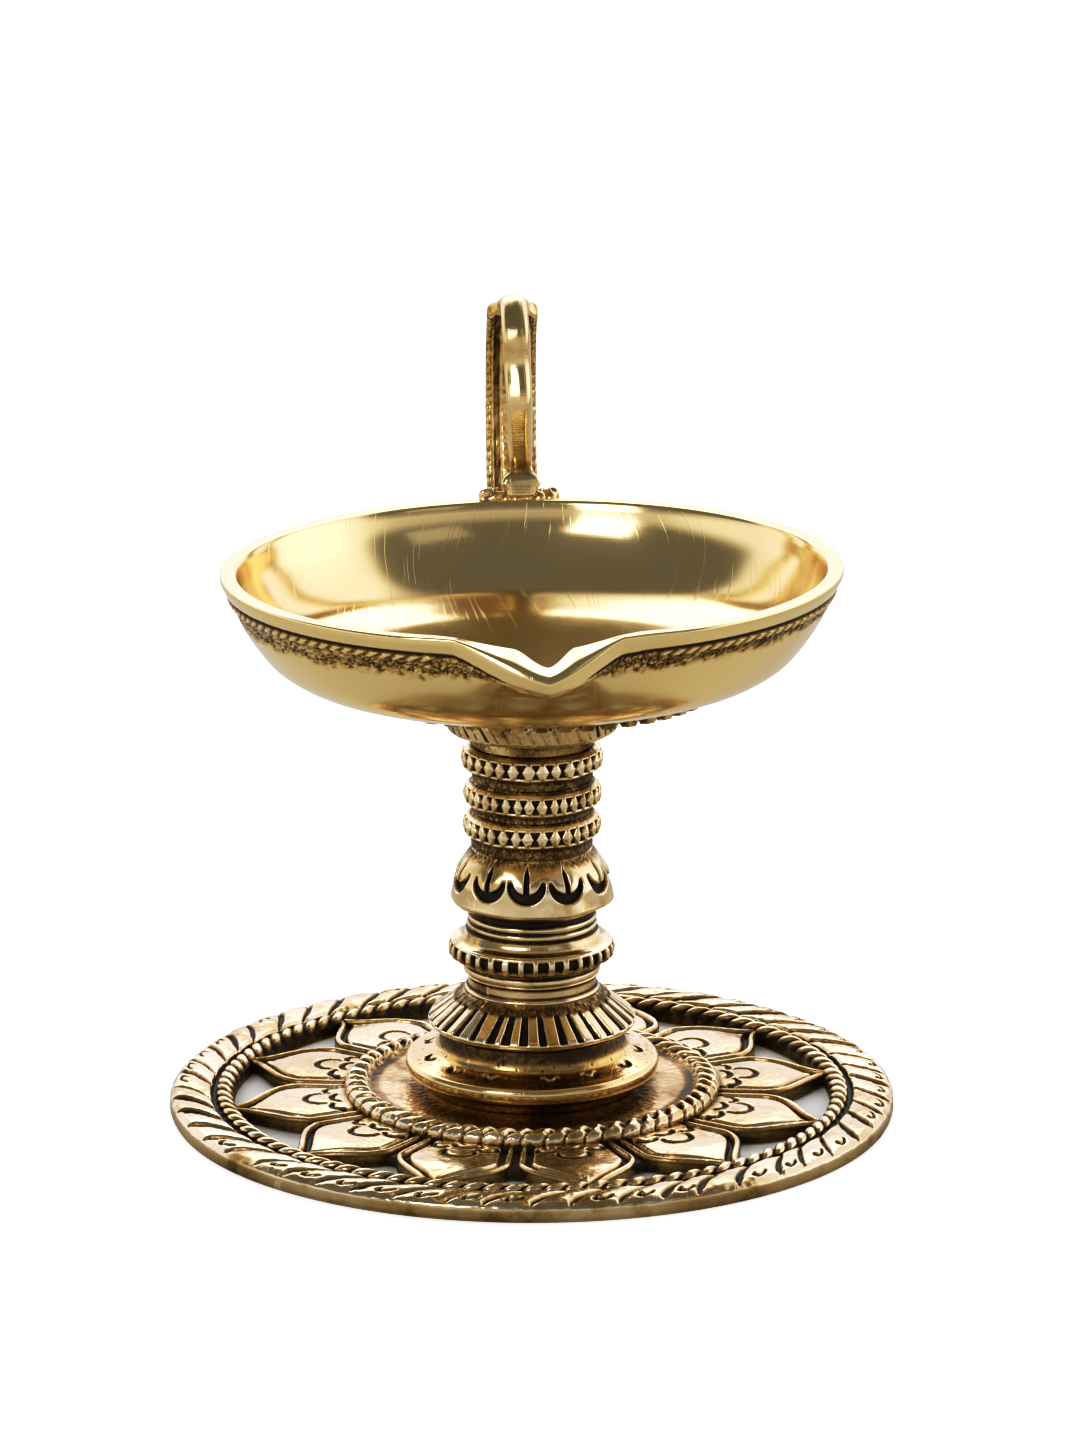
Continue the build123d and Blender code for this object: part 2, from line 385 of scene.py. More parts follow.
def brass(name, bright, shine, patina, turned_marks, scratches):
    """Brass whose patina and painted shade follow the patina_and_shade attribute.

    bright is its clean colour, shine its clean roughness, patina how far dark tarnish spreads,
    turned_marks the strength of lathe lines and scratches that of random fine scratches.
    """
    material = bpy.data.materials.new(name)
    s = Shader(material)
    place = s.add("TexCoord").outputs["Object"]
    patina_and_shade = s.add("Attribute", {"attribute_name": "patina_and_shade"}).outputs["Fac"]
    fine = s.noise(place, 1400.0, 4.0)
    patch = s.noise(place, 210.0, 4.0, 0.6)
    broad = s.noise(place, 60.0, 2.0)
    curvature = s.add("NewGeometry").outputs["Pointiness"]
    hollow = s.remap(curvature, 0.5, 0.455)
    edge = s.remap(curvature, 0.515, 0.56)
    tarnish = s.times(s.remap(patch, 0.48, 0.78), patina)
    tarnish = s.plus(tarnish, s.times(s.remap(broad, 0.4, 0.7), patina * 0.5))
    # Real patina and tarnish, plus the painted shade carried in the attribute, drive the darkening ramp.
    tarnish_and_shade = s.times(patina_and_shade, s.remap(fine, 0.25, 0.7, 1.12, 0.85))
    tarnish_and_shade = s.plus(tarnish_and_shade, s.times(hollow, patina * 1.3))
    tarnish_and_shade = s.plus(tarnish_and_shade, tarnish)
    tarnish_and_shade = s.math("SUBTRACT", tarnish_and_shade, s.times(edge, 0.25), clamp=True)
    warm = tuple(c * k for c, k in zip(bright, (0.74, 0.62, 0.44)))
    colour = s.ramp(tarnish_and_shade, [
        (0.0, bright), (0.22, warm), (0.45, (0.27, 0.155, 0.055)), (0.7, (0.06, 0.032, 0.014)),
        (1.0, (0.012, 0.007, 0.004)),
    ])
    axial = round_axis(s, place)
    lathe = s.noise(s.stretched(axial, (25.0, 5200.0, 5200.0)), 1.0, 2.0, 0.7)
    wander = s.add("TexNoise", Vector=place, Scale=45.0, Detail=0.0).outputs["Color"]
    bend = {"operation": "MULTIPLY_ADD"}
    bent = s.add("VectorMath", bend, i0=wander, i1=(0.012, 0.012, 0.012), i2=place).outputs[0]
    scratch = 0.0
    for turn, stretch in ((0.35, 2600.0), (1.25, 3100.0), (2.3, 2100.0)):
        line = s.noise(s.stretched(bent, (stretch, stretch * 0.02, stretch * 0.02), turn), 1.0, 1.0)
        scratch = s.plus(scratch, s.remap(line, 0.69, 0.75))
    rough = s.remap(tarnish_and_shade, 0.1, 0.8, shine, 0.55)
    rough = s.plus(rough, s.times(s.math("SUBTRACT", patch, 0.5), 0.08))
    rough = s.plus(rough, s.times(scratch, 0.10 * scratches))
    rough = s.math("MAXIMUM", rough, 0.03)
    relief = s.times(lathe, turned_marks)
    relief = s.math("SUBTRACT", relief, s.times(scratch, scratches * 0.5))
    relief = s.plus(relief, s.times(s.times(fine, tarnish_and_shade), 1.2))
    bump = s.add("Bump", Strength=0.5, Distance=0.00006, Height=relief).outputs["Normal"]
    metal = s.remap(tarnish_and_shade, 0.6, 1.0, 1.0, 0.55)
    look = {"Base_Color": colour, "Metallic": metal, "Roughness": rough, "Normal": bump}
    surface = s.add("BsdfPrincipled", **look).outputs[0]
    s.add("OutputMaterial", Surface=surface)
    return material


# plate_brass is cast_brass made darker: painted shade that stands in for dimmer reflections on the plate.
PLATE = brass("plate_brass", (0.72, 0.58, 0.37), 0.19, 0.34, 0.15, 0.4)
CAST = brass("cast_brass", (0.84, 0.68, 0.42), 0.17, 0.34, 0.15, 0.4)
TURNED = brass("turned_brass", (0.78, 0.59, 0.30), 0.15, 0.18, 0.6, 0.5)
POLISHED = brass("polished_brass", (0.86, 0.655, 0.32), 0.15, 0.0, 0.08, 0.4)
SCREW = brass("screw_brass", (0.74, 0.58, 0.30), 0.28, 0.2, 0.6, 0.4)


# ---- the plate

PLATE_TOP = 2.8
ROPE_R = (41.2, 43.9)
PETALS = 12
PETAL_SHIFT = math.radians(7.6)
RIBS = 52
RIB_SKEW = 4.0 / 3.3
STRANDS = 100
PITS = 58
BORDER = 0.5


def plate_band():
    """Outer ring: domed ribs between dark slashes, and a fine twisted rope inside a groove."""
    bottom, _, plate_r = span("base_plate")
    rope_in, rope_out = ROPE_R
    rope_mid = (rope_in + rope_out) / 2
    shown = rounded([
        (rope_in, 0.25), (rope_in, 1.9, 0.6), (rope_in + 0.5, 2.6, 0.6), (rope_mid, PLATE_TOP + 0.15, 0.9),
        (rope_out - 0.5, 2.6, 0.5), (rope_out, 1.6, 0.15), (rope_out + 0.55, 2.5, 0.3),
        (47.2, PLATE_TOP, 2.0), (plate_r - 0.7, 2.5, 0.6), (plate_r - 0.05, 2.05, 0.3),
        (plate_r, 0.5, 0.3), (plate_r - 0.3, bottom + 0.02, 0.2),
    ], 0.2)
    hidden = even([(plate_r - 0.6, bottom), (rope_in + 0.2, bottom)], 2.5)
    nudge, width, chance, arch_size = spreads(11, RIBS, (-0.13, 0.13), (0.75, 1.2), (0, 1), (0.85, 1.15))
    arched = chance < 0.7

    def relief(radius, height, angle):
        inward = plate_r - 0.3 - radius
        lean = angle - np.radians(RIB_SKEW * inward * (0.45 + 0.12 * inward))
        on_top = step(1.6, 2.1, height) * step(rope_out + 0.2, rope_out + 0.9, radius)
        index, place = repeat(lean, RIBS)
        pitch = TURN * radius / RIBS
        across = (place - nudge[index]) * pitch * 0.82
        taper = step(-0.1, 1.3, inward) * (1 - 0.75 * step(3.8, 5.6, inward))
        slash = groove(across, 0.46 * width[index] * taper + 0.05) * step(-0.1, 0.3, inward)
        index, place = repeat(lean, RIBS, 0.5)
        u = place * pitch * 0.9
        v = radius - (plate_r - 2.1)
        ring = np.hypot(u, v) - 0.85 * arch_size[index]
        arch = groove(ring, 0.26) * step(-0.4, 0.2, v) * arched[index]
        crease = groove(radius - rope_out, 0.38) * step(1.2, 1.6, height)
        swell = 0.30 * np.cos(math.pi * place) * window(inward, 0.8, 4.8, 0.8) * on_top
        cut = on_top * np.maximum(slash, 0.85 * arch)
        in_rope = window(radius, rope_in + 0.05, rope_out - 0.3, 0.2) * step(0.9, 2.0, height)
        twist = angle + np.radians(1.35) * (radius - rope_mid)
        _, strand = repeat(twist, STRANDS)
        valley = np.abs(2 * strand) ** 2.5
        # Painted shade on the band's inner wall, facing the petal tips across the gap.
        inner_wall_shade = window(height, 0.25, 2.1, 0.5) * fall(0.4, 0.8, radius - rope_in)
        chips = grain_on(height, angle, 12, 2) * step(1.0, 2.0, height)
        raised = 0.05 * uneven(angle, radius, 13) + 0.02 * chips + swell - 0.65 * cut - 0.25 * crease
        raised = raised + in_rope * (0.12 - 0.62 * valley)
        patina_and_shade = 0.97 * cut + 0.9 * valley * in_rope + 0.9 * crease + 0.6 * inner_wall_shade
        # Painted shade on the lower outer side wall of the plate, with some uneven tone.
        side = fall(1.2, 2.0, height) * step(plate_r - 0.6, plate_r - 0.2, radius)
        return raised, patina_and_shade + side * (0.20 + 0.08 * uneven(angle, height, 14))

    return turned(shown, hidden, 1200, relief)


def plate_well():
    """Centre of the plate: bead ring with slanted pits, the sunken well, and the web under the petals."""
    bottom, top, _ = span("base_plate")
    inner, bead_r, outer = 22.5, 24.2, 26.1
    floor = span("foot")[0]
    seat = span("tie_screw")[0]
    shown = rounded([
        (12.0, floor), (inner - 0.5, floor, 0.3), (inner, floor + 0.15, 0.2),
        (inner + 0.35, top - 0.5, 0.3), (inner + 0.9, top, 0.4), (outer - 1.2, top - 0.1, 0.5),
        (outer - 0.3, top - 0.55, 0.3), (outer, 2.1, 0.2), (outer + 0.8, 1.75, 0.2),
        (33.3, 1.6, 0.2), (33.7, 1.1, 0.3), (33.7, 0.45, 0.1),
    ], 0.2)
    head_r = span("tie_screw")[2] + 0.06
    hidden = np.array([
        (33.0, 0.4), (27.0, 0.4), (26.2, bottom), (16.0, bottom), (head_r, bottom), (head_r, seat + 0.3),
        (BORE_R, seat + 0.3 + head_r - BORE_R), (BORE_R, floor), (7.0, floor),
    ])
    nudge, size = spreads(21, PITS, (-0.1, 0.1), (0.85, 1.12))

    def relief(radius, height, angle):
        lean = angle + np.radians(1.6) * (radius - bead_r)
        index, u = nearest_cut(lean, radius, nudge)
        v = (radius - bead_r + 0.2) * 0.62
        from_pit = np.hypot(u, v) / size[index]
        pit = fall(0.55, 0.80, from_pit) * step(floor + 0.25, floor + 0.7, height)
        post = step(0.8, 1.2, from_pit) * window(radius, inner + 0.6, outer - 0.9, 0.4)
        outer_edge = step(24.9, 25.4, radius) * fall(26.0, 26.4, radius)
        notch = groove(u, 0.3) * step(1.9, 2.6, height) * outer_edge
        crease = window(radius, outer, outer + 0.7, 0.3) * fall(2.0, 3.0, height)
        # Painted shade: the web under the petals, the well round the foot, and the well's inner corner.
        web = step(outer + 0.1, outer + 0.6, radius)
        foot_shadow = fall(15.5, 18.2, radius)
        corner = window(radius, inner - 1.0, inner + 0.1, 0.8) * fall(3.6, 4.1, height)
        grain = grain_on(height, angle, 22, 2)
        well = fall(inner - 0.4, inner, radius)
        raised = 0.03 * uneven(angle, radius, 23) - 0.8 * pit + 0.16 * post - 0.2 * notch - 0.3 * crease
        raised = raised + 0.02 * grain
        patina_and_shade = 0.98 * pit + 0.35 * notch + 0.9 * crease + 0.8 * web + 0.15 * foot_shadow + 0.3 * corner
        patina_and_shade = patina_and_shade + well * (0.22 + 0.08 * uneven(angle, radius, 24) + 0.03 * grain)
        return raised, patina_and_shade

    return turned(shown, hidden, 870, relief)


def petal_half_angle(radius):
    """Half of a petal's width as an angle: it fills its sector, then closes in an ogee to a thin tip."""
    closing = np.interp(radius, [25, 32.6, 33.6, 34.8, 36, 37, 38, 39, 40, 41, 41.9],
                        [14.1, 14.1, 13.6, 12.3, 10.6, 8.6, 6.5, 4.5, 2.8, 1.6, 1.1])
    return np.radians(closing)


def lotus_petal():
    """One petal along the spout's direction: a bordered ogee with an arched motif near its root."""
    root_r, tip_r = 25.2, 41.8
    stations = np.linspace(root_r, tip_r, 92)
    outline_r = np.linspace(root_r, tip_r, 160)
    half = petal_half_angle(outline_r)
    soft = np.convolve(np.pad(half, 6, mode="edge"), np.ones(13) / 13, mode="valid")
    side = stacked(outline_r * np.cos(soft), outline_r * np.sin(soft))
    across = np.sin(np.linspace(-1, 1, 81) * math.pi / 2)
    spread = np.interp(stations, outline_r, soft)
    angle = across[None, :] * spread[:, None]
    radius = stations[:, None] + 0 * angle
    u, v = radius * np.sin(angle), radius * np.cos(angle)
    from_edge = nearest(stacked(v, np.abs(u)), side)
    bead = np.sqrt(np.clip(1 - (from_edge / BORDER - 1) ** 2, 0, 1)) * (from_edge < 2 * BORDER)
    channel = groove(from_edge - 2 * BORDER - 0.35, 0.42)
    field = step(2 * BORDER + 0.5, 2 * BORDER + 1.1, from_edge)
    dome = field * 0.5 * np.clip(1 - (u / 7.5) ** 2, 0, 1) * window(radius, 26.5, 34.5, 4.0)
    motif = petal_motif(u, v)
    top = 1.85 + 0.62 * bead * (1 - field) + 0.30 * field + dome - 0.5 * channel - 0.5 * motif
    top = top + 0.012 * speckle(u.shape, 31, 1) - 0.35 * step(36.5, 41.5, radius)
    shade = np.maximum(0.97 * channel, motif)
    shade = shade + 0.3 * fall(0, 0.25, from_edge) + 0.2 * step(38.5, 41.5, radius)
    # Painted shade at the petal root, in the corner against the bead ring.
    shade = shade + 0.5 * fall(25.6, 27.0, radius)
    base = 0.45
    drop = np.linspace(0, 1, 7)[1:-1]
    wall_z = top[:, -1:] + (base - top[:, -1:]) * drop[None, :]
    right = stacked(v[:, -1:], u[:, -1:], wall_z)
    left = right[:, ::-1] * np.array([1, -1, 1])
    under_angle = np.linspace(1, -1, 9)[None, :] * spread[:, None]
    reach = stations[:, None]
    under = stacked(np.cos(under_angle) * reach, np.sin(under_angle) * reach, base)
    loop = np.concatenate([stacked(v, u, top), right, under, left], axis=1)
    wall_shade = 0.16 + 0.45 * drop[None, :] + 0 * wall_z
    # Painted shade: the side walls darken towards the floor and the undersides are set to 0.6.
    shade = np.concatenate([shade, wall_shade, np.full(under.shape[:2], 0.6), wall_shade[:, ::-1]], axis=1)
    return loop, shade


def petal_motif(u, v):
    """Dark cuts on a petal: a high arch over two side curls and a low arch between them."""
    total = np.zeros_like(u)
    for centre_u, centre_v, size, lean, sweep in (
        (0.0, 29.7, 2.1, 0.0, 2.0), (3.2, 27.3, 1.3, 0.5, 1.6),
        (-3.2, 27.3, 1.3, -0.5, 1.6), (0.0, 26.4, 1.7, 0.0, 1.3),
    ):
        du, dv = u - centre_u, v - centre_v
        direction = np.arctan2(du, dv) - lean
        reach = fall(sweep - 0.25, sweep + 0.15, np.abs(direction))
        thick = 0.44 * (0.6 + 0.4 * np.cos(direction * 0.8))
        total = np.maximum(total, groove(np.hypot(du, dv * 1.05) - size, thick) * reach)
    return total


def lotus_petals():
    """The twelve petals, each set round the plate with small differences of its own."""
    loop, shade = lotus_petal()
    rng = np.random.default_rng(41)
    shells = []
    for number in range(PETALS):
        turn = PETAL_SHIFT + number * TURN / PETALS + np.radians(rng.uniform(-0.35, 0.35)) - TURN / 4
        lift = 1 + rng.uniform(-0.03, 0.03)
        x = loop[..., 0] * math.cos(turn) - loop[..., 1] * math.sin(turn)
        y = loop[..., 0] * math.sin(turn) + loop[..., 1] * math.cos(turn)
        points = stacked(x, y, loop[..., 2] * lift)
        shells.append(closed_surface(points, shade + rng.uniform(0.02, 0.14), wrap_rows=False))
    return shells


# ---- the stem

def foot():
    """Foot disc with an undercut edge, and a hollow flare with half-moon punch marks."""
    bottom, top, r = span("foot")
    flare = curve([(r - 0.45, 7.45), (15.9, 7.7), (14.3, 8.15), (13.1, 9.0), (12.5, top - 0.02)], 0.2)
    edge = rounded([
        (r - 3.0, bottom + 0.02), (r - 2.6, 4.5, 0.3), (r - 0.5, 5.25, 0.3), (r - 0.05, 5.7, 0.4),
        (r, 6.95, 0.3), (r - 0.45, 7.45),
    ], 0.2)
    shown = np.vstack([edge[:-1], flare])
    nudge = spreads(51, 13, (-0.12, 0.12))[0]
    mark_r = 14.6

    def relief(radius, height, angle):
        u = nearest_cut(angle, radius, nudge, 0.35)[1]
        v = radius - mark_r
        ring = np.hypot(u, v * 1.1 + 0.55) - 1.0
        grain = grain_on(height, angle, 52, 1)
        on_top = step(7.3, 7.6, height)
        mark = groove(ring, 0.38) * step(-0.4, 0.2, v + 0.3) * on_top
        neck = fall(12.6, 13.4, radius)
        under = fall(4.6, 5.6, height)
        pit = step(1.6, 2.4, grain) * on_top
        raised = 0.04 * uneven(angle, height, 53) - 0.38 * mark - 0.06 * pit
        # Marks and pits hold real patina; the neck term is painted shade under the skirt, the under term
        # painted shade beneath the disc's undercut edge.
        patina_and_shade = 0.97 * mark + 0.6 * pit + 0.6 * neck * step(8.6, 9.9, height) + 0.4 * under
        return raised, patina_and_shade + on_top * (0.12 + 0.07 * uneven(angle, height, 54))

    return turned(shown, bored(bottom, top, 9.0, 8.0), 640, relief)


def fluted_skirt():
    """Conical skirt cut with tapering flutes, and the plain neck above it."""
    bottom, top, r = span("fluted_skirt")
    flutes = 34
    edge = bottom + 1.55
    cone_top = top - 3.0
    neck_r = 9.75
    shown = rounded([
        (12.4, bottom), (12.9, bottom + 0.25, 0.2), (r - 0.35, edge - 0.75, 0.5), (r, edge - 0.2, 0.4),
        (r - 0.25, edge + 0.3, 0.4), (neck_r, cone_top, 0.6), (9.15, cone_top + 0.35, 0.3),
        (9.4, cone_top + 0.6, 0.15), (9.15, cone_top + 0.85, 0.25), (8.85, cone_top + 1.2, 0.4),
        (8.85, top - 0.6, 0.3), (9.3, top - 0.25, 0.15), (8.8, top),
    ], 0.15)
    nudge, lean, width = spreads(61, flutes, (-0.12, 0.12), (-0.06, 0.06), (0.85, 1.15))

    def relief(radius, height, angle):
        on_cone = step(edge - 0.1, edge + 0.25, height)
        index, u = nearest_cut(angle, radius, nudge, 0.15)
        down = (r - radius) / (r - neck_r)
        u = u - lean[index] * down * 3 * TURN * radius / flutes
        half = (0.62 - 0.28 * down) * width[index]
        slot = fall(0.75, 1.2, np.abs(u) / half)
        slot = slot * fall(0.72, 0.86, down) * on_cone
        grain = grain_on(height, angle, 62, 2)
        upper = window(down, 0.82, 1.02, 0.12) * on_cone
        upper = upper * fall(cone_top + 0.3, cone_top + 0.6, height)
        neck = step(cone_top + 0.9, cone_top + 1.3, height)
        seams = groove(height - (cone_top + 1.1), 0.2) + groove(height - (top - 0.55), 0.16)
        under = fall(bottom + 0.1, bottom + 0.5, height)
        raised = 0.07 * uneven(angle, height, 63) - 0.75 * slot + 0.02 * grain * upper
        # The under term is painted shade on the skirt's underside.
        patina_and_shade = slot + upper * (0.55 + 0.12 * grain) + 0.8 * under + 0.6 * np.clip(seams, 0, 1)
        return raised, patina_and_shade + neck * (0.14 + 0.14 * uneven(angle, height, 64))

    return turned(shown, bored(bottom, top, 8.0, 6.0), 748, relief)


def beaded_collar():
    """Collar with square dentils on its widest line, a hollow cone above, and thin rings below."""
    bottom, top, r = span("beaded_collar")
    tall = top - bottom
    shown = rounded([
        (8.8, 0.0), (9.35, 0.1, 0.15), (9.35, 0.75, 0.2), (9.05, 0.95, 0.1), (9.8, 1.5, 0.2),
        (10.6, 2.0, 0.2), (r - 0.15, 2.45, 0.5), (r, 3.4, 0.6), (r - 0.3, 4.25, 0.4),
        (r - 0.9, 4.6, 0.3), (9.75, 5.05, 0.6), (9.3, tall - 0.35, 0.4), (8.9, tall),
    ], 0.13, bottom)
    nudge, wide = spreads(71, 33, (-0.08, 0.08), (0.85, 1.1))
    centre = bottom + 3.0

    def relief(radius, height, angle):
        index, u = nearest_cut(angle, r, nudge)
        v = height - centre
        pit = fall(0.60, 0.84, np.abs(u) / wide[index]) * fall(0.85, 1.15, np.abs(v))
        rim_line = window(np.abs(v), 1.2, 1.4, 0.15)
        post = fall(0.85, 1.15, np.abs(v)) * (1 - pit)
        lower_line = groove(height - (bottom + 1.75), 0.16)
        seam = np.clip(groove(height - (bottom + 0.95), 0.2) + step(top - 0.3, top - 0.1, height), 0, 1)
        cone = step(bottom + 4.6, bottom + 5.0, height)
        raised = 0.09 * uneven(angle, height, 73) - 0.66 * pit + 0.12 * post
        raised = raised + 0.10 * rim_line - 0.15 * lower_line
        patina_and_shade = 0.98 * pit + 0.6 * lower_line + 0.8 * seam
        return raised, patina_and_shade + cone * (0.06 + 0.12 * uneven(angle, height, 74))

    return turned(shown, bored(bottom, top, 6.0, 6.0), 792, relief)


def lotus_bell():
    """Bell with a thin flared lip, crescent and slit cuts, and two fine rings under the lip."""
    bottom, top, r = span("lotus_bell")
    lip = 29.95
    cut_z, cut_r = 34.4, 11.0
    shown = rounded([
        (8.6, bottom), (8.95, bottom + 0.3, 0.2), (9.0, bottom + 0.75, 0.3), (8.55, bottom + 1.05, 0.12),
        (8.95, bottom + 1.45, 0.3), (8.9, bottom + 1.85, 0.3), (8.45, bottom + 2.15, 0.2),
        (8.45, bottom + 2.8, 0.3), (9.6, bottom + 3.2, 0.4), (r - 0.35, lip - 0.25, 0.15),
        (r, lip + 0.05, 0.2), (r - 0.12, lip + 0.5, 0.4), (r - 0.35, 31.6, 1.0), (10.75, 33.2, 1.5),
        (9.7, 35.4, 1.5), (8.5, 36.8, 0.5), (8.3, top),
    ], 0.15)
    nudge, rise = spreads(81, 11, (-0.05, 0.05), (-0.2, 0.2))

    def relief(radius, height, angle):
        index, u = nearest_cut(angle, cut_r, nudge, 0.714)
        v = height - cut_z - rise[index]
        above_lip = step(lip + 0.25, lip + 0.6, height)
        inner = np.hypot(u, v - 0.9)
        crescent = fall(2.65, 2.9, np.hypot(u * 0.98, v)) * step(2.2, 2.45, inner)
        crescent = crescent * fall(-0.4, 0.5, v)
        slit = groove(u, 0.36 * window(v, -1.4, 0.9, 1.4) + 0.02) * window(v, -2.0, 2.2, 0.4)
        tongue = fall(1.2, 2.3, inner) * fall(-0.5, 1.2, v)
        cut = above_lip * np.clip(crescent + slit, 0, 1)
        rings = np.clip(groove(height - (bottom + 1.05), 0.2) + groove(height - (bottom + 2.2), 0.3), 0, 1)
        grain = grain_on(height, angle, 82, 2)
        crown = step(35.6, 36.6, height)
        under = window(height, bottom + 2.3, lip - 0.5, 0.3)
        raised = 0.12 * uneven(angle, height, 83) - 0.85 * cut + 0.16 * tongue * (1 - cut) * above_lip
        # The under term is painted shade beneath the lip, and the crown term painted shade under the lower
        # ring, with some grain.
        patina_and_shade = cut + 0.75 * rings + 0.6 * under + crown * (0.40 + 0.15 * grain)
        return raised, patina_and_shade + 0.08 * uneven(angle, height, 84) * above_lip

    return turned(shown, bored(bottom, top, 6.0, 6.0), 880, relief)


def faceted_ring(node, facets, centre, seed, bore):
    """Spacer ring with a row of small diamonds between two thin edges, in narrow necks darkened with
    painted shade.
    """
    bottom, top, r = span(node)
    half = 1.25
    low, high = centre - half, centre + half
    neck = 8.3
    shown = rounded([
        (neck - 0.2, bottom), (neck, bottom + 0.1, 0.1), (neck, low - 0.55, 0.3), (r - 0.5, low - 0.2, 0.3),
        (r, low + 0.15, 0.25), (r, high - 0.15, 0.25), (r - 0.5, high + 0.2, 0.3),
        (neck + 0.05, high + 0.5, 0.3), (neck, top - 0.1, 0.2), (neck - 0.2, top),
    ], 0.12)
    nudge, wide = spreads(seed, facets, (-0.09, 0.09), (0.80, 1.08))

    def relief(radius, height, angle):
        index, place = repeat(angle, facets)
        u = np.abs(place - nudge[index]) * 2 / wide[index]
        v = np.abs(height - centre) / (half - 0.08)
        from_centre = u + 0.72 * v
        face = fall(0.84, 0.98, v)
        pit = face * step(0.90, 1.08, from_centre)
        pyramid = face * 0.34 * np.clip(1 - from_centre / 0.9, 0, 1)
        in_neck = fall(neck + 0.1, neck + 0.5, radius)
        grain = grain_on(height, angle, seed + 1, 1)
        raised = 0.09 * uneven(angle, height, seed + 2) - 0.55 * pit + pyramid + 0.012 * grain
        # The necks get painted shade, with grain; the pits hold real patina.
        patina_and_shade = 0.90 * pit + in_neck * (0.52 + 0.14 * grain)
        return raised, patina_and_shade

    return turned(shown, bored(bottom, top, bore + 1.5, bore + 1.5, bore), facets * 20, relief)


def top_cup():
    """Flared cup under the bowl: a hollow neck, then a flare carved with slanting leaves."""
    bottom, top, r = span("top_cup")
    leaves = 22
    flare = bottom + 2.2
    shown = rounded([
        (8.2, bottom), (8.35, bottom + 0.3, 0.2), (8.3, flare - 0.7, 0.5), (9.0, flare - 0.15, 0.4),
        (11.2, flare, 0.3), (11.65, flare + 0.35, 0.3), (r - 0.5, top - 1.5, 1.0),
        (r, top - 0.25, 0.2), (r - 0.3, top),
    ], 0.12)

    def relief(radius, height, angle):
        up = np.clip((height - flare) / (top - flare), 0, 1)
        lean = angle + 0.16 * up
        _, place = repeat(lean, leaves)
        pitch = TURN * radius / leaves
        u = place * pitch
        on_flare = step(0.08, 0.2, up) * fall(0.86, 0.95, up) * step(11.0, 11.4, radius)
        stroke = groove(np.abs(u) - 0.5 * pitch, 0.34 * (1.1 - 0.5 * up)) * on_flare
        vein = groove(u, 0.2) * on_flare * (1 - up)
        _, bead = repeat(angle, 60)
        dent = step(0.26, 0.42, np.abs(bead)) * window(radius, 9.4, 11.0, 0.3) * fall(0.0, 0.1, up)
        grain = grain_on(height, angle, 92, 1)
        hollow = fall(8.6, 9.6, radius)
        worn = step(0.70, 0.93, np.cos(angle - 0.1))
        _, dentil = repeat(angle, 46)
        gap = step(0.20, 0.32, np.abs(dentil)) * window(up, 0.72, 0.90, 0.04)
        cut = np.clip((0.7 * vein + stroke) * (1 - 0.85 * worn) * fall(0.62, 0.70, up), 0, 1)
        cut = np.maximum(cut, gap)
        raised = 0.04 * uneven(angle, height, 93) - 0.35 * cut - 0.25 * dent + 0.012 * grain
        # The hollow term is painted shade on the neck under the flare; cuts and dents hold real patina.
        patina_and_shade = 0.12 + 0.6 * cut + 0.6 * dent + hollow * (0.25 + 0.2 * uneven(angle, height, 94))
        return raised, patina_and_shade

    return turned(shown, bored(bottom, top, 7.0, 9.5, BOSS_BORE_R), 880, relief)


# ---- the bowl

SPOUT_HALF = math.radians(17.0)
SPOUT_DROP = 4.3
NOTCH_HALF = math.radians(6.5)
LIP_BAND = 2.4
BOWL_TILT = math.tan(math.radians(0.7))


def bowl_angles(columns):
    """Angles round the bowl, closer together near the spout."""
    even_angle = np.linspace(-math.pi, math.pi, columns * 8 + 1)
    density = 1 + 2.2 * np.exp(-(even_angle / 0.28) ** 2)
    total = np.concatenate([[0], np.cumsum((density[1:] + density[:-1]) / 2)])
    wanted = np.linspace(0, total[-1], columns, endpoint=False)
    return np.interp(wanted, total, even_angle)


def spout_share(angle, half, point=0.6):
    """How far a place round the rim belongs to the spout: 1 at its tip, 0 at its shoulders.

    The right side is steeper. The higher point is, the sharper the tip.
    """
    half = np.where(angle < 0, half, 0.8 * half)
    away = np.clip(np.abs(angle) / half, 0, 1)
    return 1 - point * away - (1 - point) * step(0, 1, away)


def bowl_outline(bottom, rim, r):
    """Outline of the bowl in four parts: tapped boss, outer wall, lip, and inside down to its middle."""
    seat, cup_r = span("top_cup")[1:]
    wall = curve([
        (cup_r, seat + 0.3), (16.0, seat + 1.2), (20.0, seat + 1.9), (24.0, seat + 2.65),
        (28.0, seat + 3.5), (32.0, seat + 4.8), (34.2, seat + 6.0), (36.0, seat + 7.5),
        (38.0, seat + 10.1), (39.6, seat + 12.7), (41.0, seat + 15.6), (r, rim - 0.9),
    ], 0.45)
    fine = wall[:, 1] > rim - 8.0
    wall = np.vstack([wall[~fine], even(wall[fine], 0.22)])
    lip = rounded([
        tuple(wall[-1]), (r, rim - 0.2, 0.25), (r - 0.25, rim, 0.2), (r - 2.05, rim - 0.05, 0.25),
        (r - 2.35, rim - 0.6, 0.3),
    ], 0.2)
    floor_z = seat + 3.7
    inside = curve([
        tuple(lip[-1]), (39.0, rim - 3.3), (37.6, rim - 5.8), (35.4, rim - 8.8), (33.0, rim - 10.9),
        (30.0, rim - 12.3), (26.0, floor_z + 1.55), (20.0, floor_z + 0.6), (10.0, floor_z + 0.1),
        (0.6, floor_z),
    ], 0.8)
    boss = np.array([
        (0.3, 56.0), (2.55, 56.0), (2.55, bottom + 0.2), (2.8, bottom), (5.3, bottom), (5.5, bottom + 0.3),
        (5.5, seat), (9.0, seat), (cup_r - 0.3, seat),
    ])
    return boss, wall, lip, inside


